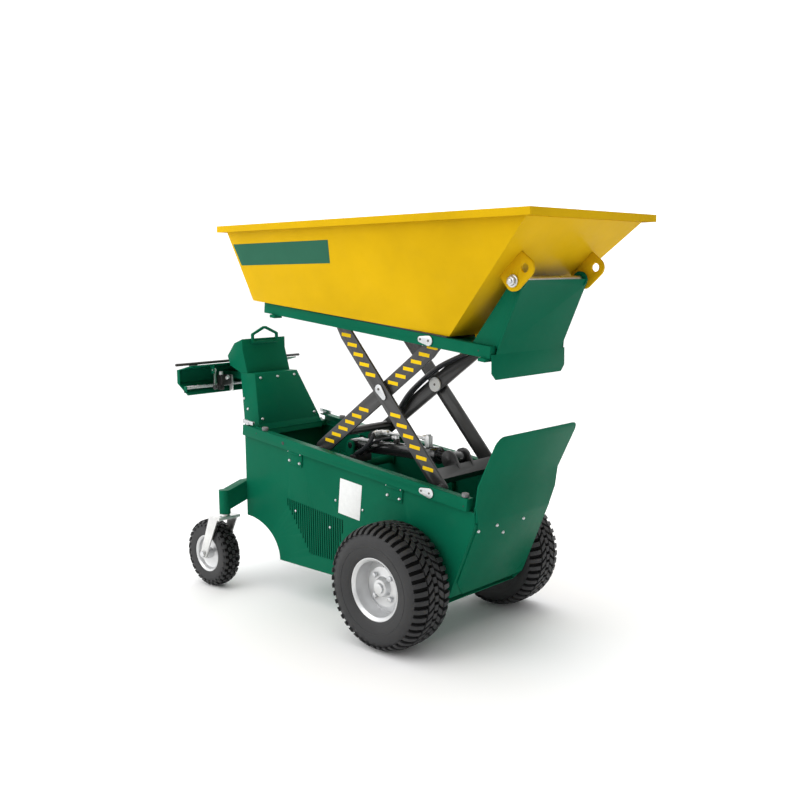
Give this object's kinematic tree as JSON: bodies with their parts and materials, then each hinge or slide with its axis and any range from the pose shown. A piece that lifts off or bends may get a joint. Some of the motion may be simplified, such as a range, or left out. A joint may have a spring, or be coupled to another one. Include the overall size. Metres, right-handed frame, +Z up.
{
  "type": "concrete buggy",
  "caption": "Walk-behind concrete buggy: pitched chassis on two drive wheels and trailing casters, scissor-lifted platform and a forward-tipping skip.",
  "frame": {"origin": "on the ground under the middle of the whole machine", "axes": "+X to the dump end, +Y to the operator's left, +Z up"},
  "size_m": [1.968, 0.852, 1.531],
  "materials": {
    "green": "gloss",
    "yellow": "gloss",
    "black_paint": "satin",
    "zinc": "satin",
    "rim_silver": "satin",
    "tyre": "matte",
    "rubber": "matte",
    "plastic": "matte"
  },
  "bodies": {
    "chassis": {"chassis_frame": "green", "side_panel_right": "green", "side_panel_left": "green", "panel_bolts": "zinc", "belly_pan": "green", "rear_wall": "green", "front_shield": "green", "shield_bolts": "zinc", "rail_pads": "rubber", "lower_pins": "zinc", "battery_box": "plastic", "power_pack": "black_paint", "drive_axle": "black_paint", "caster_beam": "green", "console_tower": "green", "tower_cover": "green", "cover_bolts": "zinc", "console_hood": "green", "loop_handle": "green", "hand_guard": "green", "hand_bar": "zinc"},
    "dead_man": {"dead_man_bar": "black_paint"},
    "control_right": {"lever_right": "zinc"},
    "control_left": {"lever_left": "zinc"},
    "latch_right": {"wing_latch_right": "zinc"},
    "latch_left": {"wing_latch_left": "zinc"},
    "wheel_right": {"tyre_right": "tyre", "rim_right": "rim_silver", "wheel_nuts_right": "zinc"},
    "wheel_left": {"tyre_left": "tyre", "rim_left": "rim_silver", "wheel_nuts_left": "zinc"},
    "swivel_right": {"fork_right": "zinc", "caster_bolt_right": "zinc"},
    "swivel_left": {"fork_left": "zinc", "caster_bolt_left": "zinc"},
    "caster_right": {"caster_tyre_right": "tyre", "caster_rim_right": "rim_silver"},
    "caster_left": {"caster_tyre_left": "tyre", "caster_rim_left": "rim_silver"},
    "outer": {"outer_arms": "black_paint", "upper_rollers": "zinc", "centre_pins": "zinc"},
    "inner": {"inner_arms": "black_paint", "lower_rollers": "zinc", "arm_hoses": "rubber"},
    "ram_barrel": {"lift_barrel": "black_paint", "lift_hoses": "rubber"},
    "ram_rod": {"lift_rod": "zinc"},
    "platform": {"platform_frame": "green", "wedge": "green", "upper_pins": "zinc", "tip_shaft": "zinc"},
    "skip": {"skip_tub": "yellow", "skip_lug_right": "yellow", "skip_lug_left": "yellow"},
    "tip_ram": {"tip_barrel": "black_paint"},
    "tip_mid_a": {"tip_stage_a": "zinc"},
    "tip_mid_b": {"tip_stage_b": "zinc"},
    "tip_end": {"tip_rod": "zinc"}
  },
  "joints": [
    {"name": "scissor_lift", "type": "hinge", "parent": "chassis", "child": "outer", "pos_m": [0.448, 0, 0.567], "axis": [0, -1, 0], "range_deg": [0, 37.2]},
    {"name": "scissor_centre", "type": "hinge", "parent": "outer", "child": "inner", "pos_m": [0.15645, 0, 0.89654], "axis": [0, -1, 0], "range_deg": [-74.41, 0]},
    {"name": "platform_pin", "type": "hinge", "parent": "inner", "child": "platform", "pos_m": [0.44158, 0, 1.10294], "axis": [0, -1, 0], "range_deg": [0, 37.21]},
    {"name": "ram_foot", "type": "hinge", "parent": "chassis", "child": "ram_barrel", "pos_m": [-0.1496, 0, 0.64002], "axis": [0, -1, 0], "range_deg": [-6.04, 0]},
    {"name": "ram_stroke", "type": "slide", "parent": "ram_barrel", "child": "ram_rod", "axis": [0.9999, 0, 0.0142], "range_m": [-0.0374, 0]},
    {"name": "skip_tip", "type": "hinge", "parent": "platform", "child": "skip", "pos_m": [0.80197, 0, 1.31], "axis": [0, 1, 0], "range_deg": [0, 60]},
    {"name": "tip_ram_foot", "type": "hinge", "parent": "platform", "child": "tip_ram", "pos_m": [0.67112, 0, 0.99808], "axis": [0, 1, 0], "range_deg": [0, 30.01]},
    {"name": "tip_ram_head", "type": "hinge", "parent": "skip", "child": "tip_end", "pos_m": [0.54, 0, 1.09602], "axis": [0, 1, 0], "range_deg": [-30.01, 0]},
    {"name": "tip_stage_one", "type": "slide", "parent": "tip_ram", "child": "tip_mid_a", "axis": [-0.8012, 0, 0.5984], "range_m": [0, 0.10259]},
    {"name": "tip_stage_two", "type": "slide", "parent": "tip_mid_a", "child": "tip_mid_b", "axis": [-0.8012, 0, 0.5984], "range_m": [0, 0.10259]},
    {"name": "drive_wheel_right", "type": "hinge", "parent": "chassis", "child": "wheel_right", "pos_m": [0.346, -0.331, 0.2285], "axis": [0, 1, 0], "continuous": true},
    {"name": "drive_wheel_left", "type": "hinge", "parent": "chassis", "child": "wheel_left", "pos_m": [0.346, 0.331, 0.2285], "axis": [0, 1, 0], "continuous": true},
    {"name": "caster_swivel_right", "type": "hinge", "parent": "chassis", "child": "swivel_right", "pos_m": [-0.631, -0.323, 0.33], "axis": [0, 0, 1], "continuous": true},
    {"name": "caster_swivel_left", "type": "hinge", "parent": "chassis", "child": "swivel_left", "pos_m": [-0.631, 0.323, 0.33], "axis": [0, 0, 1], "continuous": true},
    {"name": "caster_roll_right", "type": "hinge", "parent": "swivel_right", "child": "caster_right", "pos_m": [-0.721, -0.323, 0.145], "axis": [0, 1, 0], "continuous": true},
    {"name": "caster_roll_left", "type": "hinge", "parent": "swivel_left", "child": "caster_left", "pos_m": [-0.721, 0.323, 0.145], "axis": [0, 1, 0], "continuous": true},
    {"name": "dead_man_hinge", "type": "hinge", "parent": "chassis", "child": "dead_man", "pos_m": [-0.962, 0, 0.937], "axis": [0, 1, 0], "range_deg": [0, 5], "stiffness_Nm_per_rad": 3, "springref_deg": -20.05},
    {"name": "control_right_hinge", "type": "hinge", "parent": "chassis", "child": "control_right", "pos_m": [-0.88, -0.176, 0.917], "axis": [0, 1, 0], "range_deg": [-8, 8], "stiffness_Nm_per_rad": 1},
    {"name": "control_left_hinge", "type": "hinge", "parent": "chassis", "child": "control_left", "pos_m": [-0.88, 0.176, 0.917], "axis": [0, 1, 0], "range_deg": [-8, 8], "stiffness_Nm_per_rad": 1},
    {"name": "latch_right_turn", "type": "hinge", "parent": "chassis", "child": "latch_right", "pos_m": [-0.5833, -0.2215, 0.70299], "axis": [0.1097, 0, 0.994], "range_deg": [-80, 80]},
    {"name": "latch_left_turn", "type": "hinge", "parent": "chassis", "child": "latch_left", "pos_m": [-0.5833, 0.2215, 0.70299], "axis": [0.1097, 0, 0.994], "range_deg": [-80, 80]}
  ],
  "couplings": [
    {"joint": "scissor_centre", "follows": "scissor_lift", "ratio": -2},
    {"joint": "platform_pin", "follows": "scissor_lift", "ratio": 1},
    {"joint": "ram_foot", "follows": "scissor_lift", "ratio": -0.162},
    {"joint": "ram_stroke", "follows": "scissor_lift", "m_per_rad": -0.056831},
    {"joint": "tip_ram_foot", "follows": "skip_tip", "ratio": 0.5},
    {"joint": "tip_ram_head", "follows": "skip_tip", "ratio": -0.5},
    {"joint": "tip_stage_one", "follows": "skip_tip", "m_per_rad": 0.097491},
    {"joint": "tip_stage_two", "follows": "skip_tip", "m_per_rad": 0.097491}
  ]
}
